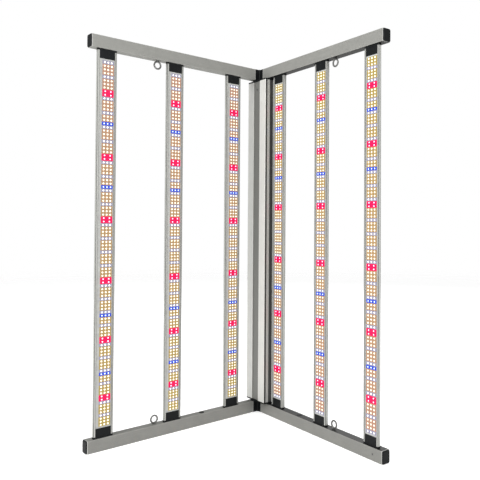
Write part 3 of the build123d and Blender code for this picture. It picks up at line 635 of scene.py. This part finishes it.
# ---- Hanging eyes, screws and pins ----
# Cold-formed steel with bright zinc plating that has dulled unevenly. The eyes are wire
# bent to a ring and held by nuts inside the beams; screws fix the beams to what they carry.

ZINC = (0.20, 0.20, 0.193)
ZINC_DULL = (0.10, 0.10, 0.096)


def zinc_plate():
    """Dull zinc plating, mottled and finely grained."""
    material, shade, shader = start_material("zinc_plate")
    place = object_place(shade)
    spangle = shade.noise(place, 0.004)
    fine = shade.noise(place, 0.0006)
    colour = (spangle * 0.7 + fine * 0.3).blend(0.35, 0.65).between(ZINC_DULL, ZINC)
    shader.inputs["Metallic"].default_value = 0.8
    finish_material(shade, shader, colour, 0.3 + fine * 0.25, fine, 0.00004)
    return material


zinc_material = zinc_plate()
for side in SIDES:
    for part in ("bottom_eye", "top_eye", "eye_nuts", "screws"):
        frame["nodes"][f"{side}_{part}"].material_slots[0].material = zinc_material
for part in ("driver_screws", "hinge_pins"):
    frame["nodes"][part].material_slots[0].material = zinc_material


# ---- Driver housing ----
# A long closed extrusion in the palest anodising, on the right wing. Its front has two
# raised lands beside a channel whose floor is painted darker, and its sides are grooved.
# The sides' darker tone and the grooves' near black are painted shade.

LAND_COLOUR = (0.600, 0.600, 0.570)
LAND_DARK = (0.530, 0.530, 0.504)
CHANNEL_COLOUR = (0.145, 0.146, 0.135)
SIDE_SHADE_COLOUR = (0.370, 0.370, 0.350)
GROOVE_SHADE_COLOUR = (0.040, 0.040, 0.038)
HOUSING_MIDDLE = 13.0 * MILLIMETRE
HOUSING_HALF = 49.0 * MILLIMETRE
CHANNEL_HALF = 17.2 * MILLIMETRE
CHANNEL_TOP = -17.6 * MILLIMETRE        # between the lands' front and the channel's floor
LAND_FRONT = -19 * MILLIMETRE           # just behind the lands' front
GROOVE_DEPTH = 1.3 * MILLIMETRE
GROOVE_START = 40 * MILLIMETRE          # out from the housing's middle


def anodised_driver():
    """Pale satin lands with die lines, a darker channel floor, and painted shade on the sides and in
    the side grooves.
    """
    material, shade, shader = start_material("anodised_driver")
    point, out, back, _ = wing_point(shade, "right")
    grain = shade.noise(point, 0.0010)
    lines = shade.noise(stretched(shade, point, (1, 1, 0.003)), 0.0011)
    mottle = shade.noise(point, 0.05)
    tone = (grain * 0.2 + lines * 0.5 + mottle * 0.3).blend(0.34, 0.66)
    sideways = abs(out - HOUSING_MIDDLE)
    channel = (sideways < CHANNEL_HALF) * (back > CHANNEL_TOP) * (back < 0)
    shaded_flank = sideways > HOUSING_HALF - ON_FACE
    groove = (sideways > GROOVE_START) * (sideways < HOUSING_HALF - GROOVE_DEPTH) * (back > LAND_FRONT)
    colour = channel.between(tone.between(LAND_DARK, LAND_COLOUR), CHANNEL_COLOUR)
    # painted shade on the sides and in their grooves
    colour = shaded_flank.between(colour, SIDE_SHADE_COLOUR)
    colour = groove.between(colour, GROOVE_SHADE_COLOUR)
    shader.inputs["Metallic"].default_value = 0.3
    finish_material(shade, shader, colour, 0.36 + lines * 0.2, lines * 0.7 + grain * 0.3, 0.00006)
    return material


frame["nodes"]["driver_housing"].material_slots[0].material = anodised_driver()


# ---- Gaskets and cable sheaths ----
# Black rubber frames that seal the driver's ends, and the vinyl sheaths of the wiring
# inside the beams: smoother than the mouldings, with a soft waxy sheen.

rubber_material = moulded_black("soft_rubber", 0.0012, 0.62)
sheath_material = moulded_black("vinyl_sheath", 0.002, 0.4)
frame["nodes"]["driver_gaskets"].material_slots[0].material = rubber_material
for side in SIDES:
    frame["nodes"][f"{side}_wiring_loom"].material_slots[0].material = sheath_material


# ---- Power supply ----
# Inside the housing: a green circuit board with two taped transformers, sleeved
# capacitors and an aluminium heat spreader.

def plain_finish(name, light, dark, size, roughness, metallic=0.0, stretch=(1, 1, 1)):
    """A finish that varies between two tones of one colour."""
    material, shade, shader = start_material(name)
    tone = shade.noise(stretched(shade, object_place(shade), stretch), size)
    shader.inputs["Metallic"].default_value = metallic
    finish_material(shade, shader, tone.blend(0.35, 0.65).between(dark, light),
                    roughness + tone * 0.15, tone, 0.00006)
    return material


SUPPLY_FINISHES = {
    "circuit_board": plain_finish("green_laminate", (0.03, 0.16, 0.07), (0.02, 0.09, 0.04),
                                  size=0.003, roughness=0.3),
    "transformers": plain_finish("taped_winding", (0.55, 0.40, 0.06), (0.38, 0.26, 0.04),
                                 size=0.004, roughness=0.4, stretch=(1, 1, 8)),
    "capacitors": plain_finish("shrink_sleeve", (0.02, 0.02, 0.06), (0.01, 0.01, 0.03),
                               size=0.01, roughness=0.3),
    "heat_spreader": plain_finish("sawn_aluminium", (0.5, 0.5, 0.5), (0.34, 0.34, 0.34),
                                  size=0.001, roughness=0.35, metallic=0.6, stretch=(1, 1, 0.05)),
}
for part, finish in SUPPLY_FINISHES.items():
    frame["nodes"][part].material_slots[0].material = finish


# ---- Inlet and dimmer ----
# On the housing's back: a black three-blade mains inlet, and a black ribbed knob on
# its control. Both are moulded, a little glossier than the structural parts.

glossy_material = moulded_black("glossy_moulding", 0.0004, 0.32)
for part in ("mains_inlet", "dimmer_knob", "potentiometer"):
    frame["nodes"][part].material_slots[0].material = glossy_material
